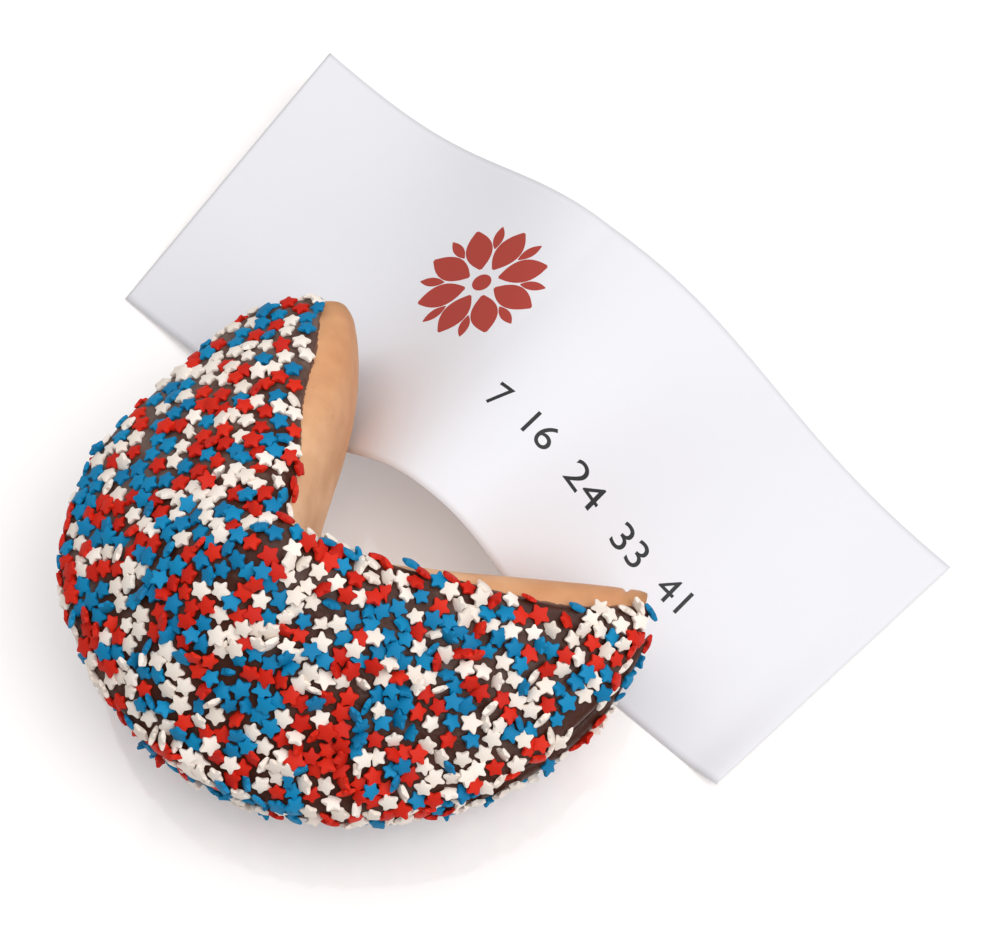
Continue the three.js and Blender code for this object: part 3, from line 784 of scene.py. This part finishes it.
def settle(places, normals, lifts, rng):
    """Lays each star on the chocolate, or on those that were there before it: gives its middle,
    the way that it faces and the way that its first arm points."""
    points, triples, shares = footprint()
    reach = np.linalg.norm(points, axis=1)
    under = lens(reach)
    spin = unit(np.cross(normals, rng.normal(size=normals.shape)))
    centres, facing = places.copy(), normals.copy()
    first = spin.copy()
    for k in range(len(places)):
        up, ahead = normals[k], spin[k]
        side = np.cross(up, ahead)
        spots = places[k] + points[:, :1] * ahead + points[:, 1:] * side
        floor = under - rng.uniform(*STAR_SINK)
        jumble = jumble_at(places[k])
        sway = rng.normal(0, STAR_SWAY * jumble, 2)
        floor = floor + np.abs(points @ sway) + points @ sway
        near = np.flatnonzero(((centres[:k] - places[k]) ** 2).sum(1) < STAR_MEET ** 2)
        for j in near:
            slope = up @ facing[j]
            if slope < STEEP:
                continue
            lift = (centres[j] - spots) @ facing[j] / slope
            offset = spots + lift[:, None] * up - centres[j]
            x, y = offset @ first[j], offset @ np.cross(facing[j], first[j])
            radius = np.hypot(x, y)
            covered = radius < outline_radius(np.arctan2(y, x))
            top = lift + lens(radius) / slope + under
            floor = np.where(covered, np.maximum(floor, STAR_NEST * top), floor)
        carried = (floor[triples] * shares).sum(1)
        best = triples[carried.argmax()]
        corners = np.column_stack([points[best], np.ones(3)])
        by_x, by_y, height = np.linalg.solve(corners, floor[best])
        tilted = rng.random() < (TILTED_PILED if height > PILED else TILTED) * jumble
        if tilted and lifts[k] > 1:
            by_x, by_y = rng.uniform(*TILTED_SLOPES) * unit(rng.normal(size=2))
        facing[k] = unit(up - by_x * ahead - by_y * side)
        centres[k] = places[k] + up * min(height, lifts[k])
        first[k] = unit(ahead - facing[k] * (ahead @ facing[k]))
    return centres, facing, first


def colour_numbers(places, rng):
    """A colour for each star: patches of one colour, loosely mixed, in the wanted shares."""
    fields = np.stack([lumps(places, COLOUR_PATCH, seed) for seed in (20.0, 31.0, 42.0)], -1)
    fields = fields / fields.std(0) + rng.gumbel(0, COLOUR_MIXING, fields.shape)
    bias = np.zeros(3)
    for _ in range(60):
        chosen = (fields + bias).argmax(1)
        shares = np.bincount(chosen, minlength=3) / len(chosen)
        bias -= 0.5 * (shares - np.array(COLOUR_SHARES))
    return chosen


def held(vertices, coat):
    """Which stars touch the chocolate or another star."""
    points = np.empty(3 * len(coat.vertices))
    coat.vertices.foreach_get("co", points)
    points = [Vector(p) for p in points.reshape(-1, 3) / MM - SHIFT]
    tree = BVHTree.FromPolygons(points, [tuple(face.vertices) for face in coat.polygons])
    middles = vertices.mean(axis=1)
    result = []
    for star, middle in zip(vertices, middles):
        found = [(Vector(p), *tree.find_nearest(Vector(p))[:2]) for p in star[::2]]
        touches = min((p - place).dot(normal) for p, place, normal in found) < TOUCH_COAT
        if not touches:
            away = np.linalg.norm(middles - middle, axis=1)
            others = vertices[(away < TOUCH_REACH) & (away > 1e-6)].reshape(-1, 3)
            touches = nearest(star, others).min() < TOUCH_STAR
        result.append(touches)
    return np.array(result)


def star_pieces(layers, coat, materials):
    """All the stars, a piece for each colour."""
    rng = np.random.default_rng(27)
    kinds = WHOLE_KINDS + BROKEN_KINDS
    templates = np.stack([star_template(rng, broken=k >= WHOLE_KINDS) for k in range(kinds)])
    places, normals, lifts = scatter(layers, rng)
    chosen = colour_numbers(places, rng)
    places, normals, ahead = settle(places, normals, lifts, rng)

    axes = np.stack([ahead, np.cross(normals, ahead), normals], 1)
    count = len(places)
    axes = axes * np.clip(rng.normal(1.0, STAR_SIZE_SPREAD, (count, 1, 1)), *STAR_SIZES)
    kind = rng.integers(0, WHOLE_KINDS, count)
    broken = rng.random(count) < BROKEN_SHARE
    kind = np.where(broken, rng.integers(WHOLE_KINDS, kinds, count), kind)
    vertices = np.einsum("nti,nij->ntj", templates[kind], axes) + places[:, None]
    too_high = vertices[..., 2].max(axis=1, keepdims=True) - STAR_TOP
    vertices[..., 2] -= np.maximum(too_high, 0)
    vertices[..., 2] = np.maximum(vertices[..., 2], STAR_BOTTOM)
    shade = rng.random(count)
    low = slip_top(vertices[..., 0], vertices[..., 1]) + STAR_CLEARANCE
    clear = (vertices[..., 2] > low).all(axis=1) & held(vertices, coat)
    vertices, chosen, shade = vertices[clear], chosen[clear], shade[clear]
    triangles, squares = star_faces(OUTLINE_POINTS)
    for number, name in enumerate(COLOURS):
        mine = np.flatnonzero(chosen == number)
        start = (np.arange(len(mine)) * templates.shape[1])[:, None, None]
        faces = [(part + start).reshape(-1, part.shape[1]) for part in (triangles, squares)]
        piece = make_piece(f"stars_{name}", vertices[mine].reshape(-1, 3), faces, materials[name])
        piece.data.set_sharp_from_angle(angle=math.radians(STAR_CREASE))
        set_value(piece, "shade", np.repeat(shade[mine], templates.shape[1]))


# ---------- the paper slip

SLIP_STATIONS, SLIP_ROWS = 221, 41
SLIP_MARGIN, NO_SLIP = 0.04, -100  # stars keep off a little more than the slip; no slip here
PRINT_LENGTH, PRINT_WIDTH = 228.0, 93.0  # the slip's plan size, for placing the print
PRINT_TOP, PRINT_SUNK = 0.03, 0.05
LEAF_STATIONS, LEAF_ROWS, LEAF_TIP = 15, 7, 0.015
ROSETTE_LEAVES = 8
LEAVES = [(0, 0.26, 1.0, 0.42), (0.5, 0.62, 1.02, 0.16)]  # turn, start, end, width
DISC_POINTS, DISC_RINGS, DISC_SIZE = 33, 3, 0.15
FIGURE_HEIGHT = 0.7  # a figure's height over the font's size
FIGURE_CUTS = 1.0  # the figures are cut across this often, to follow the paper
WELD = 1e-4


def bell(x, wave):
    """A hump in a slip's edge, with its own width to the left and to the right."""
    reach = np.abs(x - wave["at"]) / np.where(x < wave["at"], wave["left"], wave["right"])
    return wave["peak"] * np.exp(-(reach ** wave["power"]))


def slip_point(along, across):
    """The slip's lower face, ruled between its two long edges."""
    near_span = SLIP_NEAR_RIGHT - SLIP_NEAR_LEFT
    far_span = SLIP_FAR_RIGHT - SLIP_FAR_LEFT
    length = np.linalg.norm(near_span)
    run = along * length
    corner = smoothstep(run, length - NEAR_CORNER_REACH, length)
    near_z = bell(run, NEAR_WAVE) + bell(run, NEAR_RIPPLE) + NEAR_CORNER_LIFT * corner ** 2
    run = along * np.linalg.norm(far_span)
    far_z = bell(run, FAR_WAVE) + FAR_END_LIFT * np.maximum(0, 1 - run / FAR_END_REACH)
    near = SLIP_NEAR_LEFT + along[..., None] * near_span
    far = SLIP_FAR_LEFT + along[..., None] * far_span
    plan = mix(near, far, across[..., None])
    return np.concatenate([plan, mix(near_z, far_z, across)[..., None]], -1)


def slip_top(x, y):
    """The slip's height under plan points, far below where there is none."""
    along, across = np.full(x.shape, 0.5), np.full(x.shape, 0.5)
    step = 1e-4
    for _ in range(8):
        here = slip_point(along, across)
        by_along = (slip_point(along + step, across) - here) / step
        by_across = (slip_point(along, across + step) - here) / step
        area = by_along[..., 0] * by_across[..., 1] - by_along[..., 1] * by_across[..., 0]
        dx, dy = x - here[..., 0], y - here[..., 1]
        along = along + (dx * by_across[..., 1] - dy * by_across[..., 0]) / area
        across = across + (dy * by_along[..., 0] - dx * by_along[..., 1]) / area
    inside = (along > -SLIP_MARGIN) & (along < 1 + SLIP_MARGIN)
    inside &= (across > -SLIP_MARGIN) & (across < 1 + SLIP_MARGIN)
    top = slip_point(np.clip(along, 0, 1), np.clip(across, 0, 1))[..., 2] + SLIP_THICKNESS
    return np.where(inside, top, NO_SLIP)


def sheet(upper, lower):
    """A closed thin solid between two grids of points, as vertices and faces."""
    count = upper.shape[0] * upper.shape[1]
    numbers = np.arange(count).reshape(upper.shape[:2])
    loop = around(numbers)
    loop = np.append(loop, loop[0])
    rim = quads(np.stack([loop, loop + count]), turned=True)
    faces = np.concatenate([quads(numbers), quads(numbers + count, turned=True), rim])
    return np.concatenate([upper.reshape(-1, 3), lower.reshape(-1, 3)]), faces


def slip_mesh():
    stations_along, rows = np.linspace(0, 1, SLIP_STATIONS), np.linspace(0, 1, SLIP_ROWS)
    face = slip_point(*np.meshgrid(stations_along, rows, indexing="ij"))
    return sheet(face + [0, 0, SLIP_THICKNESS], face + [0, 0, SLIP_THICKNESS - PAPER])


def on_slip(x, y, lift):
    """Points over the slip's upper face. x and y run along and across it in plan, from its near
    left corner, in mm of its mean length and width."""
    along, across = x / PRINT_LENGTH, y / PRINT_WIDTH
    step = 1e-3
    here = slip_point(along, across)
    by_along = slip_point(along + step, across) - here
    by_across = slip_point(along, across + step) - here
    normal = unit(np.cross(by_along, by_across))
    return here + [0, 0, SLIP_THICKNESS] + normal * lift[..., None]


def leaf(middle, angle, near, far, width):
    """One leaf of the printed rosette, as the flat points of a grid."""
    along = np.linspace(0, 1, LEAF_STATIONS)[:, None] * np.ones((1, LEAF_ROWS))
    half = width / 2 * np.sin(np.pi * np.clip(along, LEAF_TIP, 1 - LEAF_TIP)) ** 0.75
    off = half * np.linspace(-1, 1, LEAF_ROWS)[None, :]
    out = mix(near, far, along)
    cos, sin = math.cos(angle), math.sin(angle)
    return middle[0] + out * cos - off * sin, middle[1] + out * sin + off * cos


def thin_solid(x, y):
    """A closed thin solid of print over a grid of flat points, as vertices and faces."""
    return sheet(on_slip(x, y, np.full(x.shape, PRINT_TOP)),
                 on_slip(x, y, np.full(x.shape, -PRINT_SUNK)))


def rosette(middle, radius):
    """A plain eight-leaved rosette round a small disc."""
    grids = [leaf(middle, (k + turn) * 2 * math.pi / ROSETTE_LEAVES, near * radius, far * radius,
                  width * radius)
             for turn, near, far, width in LEAVES for k in range(ROSETTE_LEAVES)]
    ring = np.linspace(0, 2 * math.pi, DISC_POINTS)[:, None] * np.ones((1, DISC_RINGS))
    reach = radius * DISC_SIZE * np.linspace(0.02, 1, DISC_RINGS)[None, :]
    grids.append((middle[0] + reach * np.cos(ring), middle[1] + reach * np.sin(ring)))
    points, faces, count = [], [], 0
    for x, y in grids:
        vertices, part = thin_solid(x, y)
        points.append(vertices)
        faces.append(part + count)
        count += len(vertices)
    return np.concatenate(points), np.concatenate(faces)


def numbers_print(text, middle, height):
    """A row of plain numbers in Blender's own font, cut fine enough to follow the paper."""
    curve = bpy.data.curves.new("numbers", "FONT")
    curve.body = text
    curve.align_x = curve.align_y = "CENTER"
    curve.size = height / FIGURE_HEIGHT
    curve.extrude = 1.0
    shape = bmesh.new()
    shape.from_mesh(bpy.data.meshes.new_from_object(bpy.data.objects.new("numbers", curve)))
    bmesh.ops.remove_doubles(shape, verts=shape.verts, dist=WELD)
    half = max(vertex.co.x for vertex in shape.verts)
    for x in np.arange(-half, half, FIGURE_CUTS):
        everything = shape.verts[:] + shape.edges[:] + shape.faces[:]
        bmesh.ops.bisect_plane(shape, geom=everything, plane_co=(x, 0, 0),
                               plane_no=(1, 0, 0), dist=WELD)
    bmesh.ops.triangulate(shape, faces=shape.faces)
    shape.verts.index_update()
    flat = np.array([v.co for v in shape.verts])
    faces = np.array([[v.index for v in face.verts] for face in shape.faces])
    lift = np.where(flat[:, 2] > 0, PRINT_TOP, -PRINT_SUNK)
    return on_slip(middle[0] + flat[:, 0], middle[1] + flat[:, 1], lift), faces


# ---------- building the object

wafer_points, wafer_faces, wafer_values = wafer_mesh()
wafer = make_piece("wafer", wafer_points, wafer_faces, wafer_material())
for name, values in zip(("smear", "toast", "bake"), wafer_values):
    set_value(wafer, name, values)
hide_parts("wafer_shell")

coat_layers = [coat_layer(-1), coat_layer(1)]
first = len(coat_layers[0][0])
coat_faces = coat_layers[0][1] + [part + first for part in coat_layers[1][1]]
coat_points = np.concatenate([layer[0] for layer in coat_layers])
chocolate = make_piece("chocolate", coat_points, coat_faces, chocolate_material())
# The chocolate's painted sheen, as a number for each vertex.
set_value(chocolate, "painted_sheen", painted_sheen_at(coat_points))
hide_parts("chocolate_coat")

star_pieces(coat_layers, chocolate.data, {
    "red": sprinkle_material("red_sprinkle", (0.56, 0.010, 0.002), (0.70, 0.020, 0.004)),
    "white": sprinkle_material("white_sprinkle", (0.85, 0.75, 0.66), (0.95, 0.86, 0.78)),
    "blue": sprinkle_material("blue_sprinkle", (0.0, 0.18, 0.39), (0.0, 0.245, 0.49)),
})

slip_points, slip_faces = slip_mesh()
slip = make_piece("slip", slip_points, slip_faces, paper_material())
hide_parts("fortune_slip")

red_ink = Shader("red_ink", base_color=rgb(0.42, 0.045, 0.03), roughness=0.7)
black_ink = Shader("black_ink", base_color=rgb(0.012, 0.012, 0.013), roughness=0.6)
emblem = make_piece("print_rosette", *rosette((88, 60), 18), red_ink.material, smooth=False)
figures = numbers_print("7  16  24  33  41", (152, 33), 7.6)
numbers = make_piece("print_numbers", *figures, black_ink.material, smooth=False)


# ---------- floor, light and camera

FLOOR_SIZE = 6.0  # metres, as are the lights' places and sizes
LIGHTS = [  # name, place, size, power in watts
    ("top", (0.1, 0.1, 1.1), 1.6, 7.9),
    ("key", (0.6, -0.4, 0.85), 1.1, 6.5),
    ("fill", (-0.6, 0.35, 0.85), 0.9, 1.7),
]
WORLD_STRENGTH = 0.26
CAMERA_ELEVATION, CAMERA_DISTANCE = math.radians(65), 676 * MM
SENSOR_WIDTH, FOCAL_LENGTH = 36, 87.2


def make_floor():
    bpy.ops.mesh.primitive_plane_add(size=FLOOR_SIZE)
    floor = bpy.context.object
    floor.name = "floor"
    shader = Shader("floor", base_color=rgb(0.95, 0.925, 0.91), roughness=0.03,
                    glow=rgb(1, 0.97, 0.95), glow_strength=0.13)
    floor.data.materials.append(shader.material)


def aim(name, data, place, target):
    """A light or a camera at a place, aimed at a target."""
    holder = bpy.data.objects.new(name, data)
    holder.location = place
    holder.rotation_euler = (target - holder.location).to_track_quat("-Z", "Y").to_euler()
    bpy.context.scene.collection.objects.link(holder)
    return holder


def make_light(name, place, size, power):
    light = bpy.data.lights.new(name, "AREA")
    light.shape = "DISK"
    light.size = size
    light.energy = power
    holder = aim(name, light, place, Vector((0, 0, 0)))


def make_camera():
    target = Vector(SHIFT * MM)
    camera = bpy.data.cameras.new("camera")
    camera.sensor_width = SENSOR_WIDTH
    camera.lens = FOCAL_LENGTH
    direction = Vector((0, -math.cos(CAMERA_ELEVATION), math.sin(CAMERA_ELEVATION)))
    place = target + CAMERA_DISTANCE * direction
    bpy.context.scene.camera = aim("camera", camera, place, target)


def make_world():
    world = bpy.data.worlds.new("studio")
    world.use_nodes = True
    background = world.node_tree.nodes["Background"].inputs
    background["Color"].default_value = rgb(1, 1, 1)
    background["Strength"].default_value = WORLD_STRENGTH
    bpy.context.scene.world = world
    bpy.context.scene.view_settings.view_transform = "Standard"


make_floor()
for light in LIGHTS:
    make_light(*light)
make_world()
make_camera()
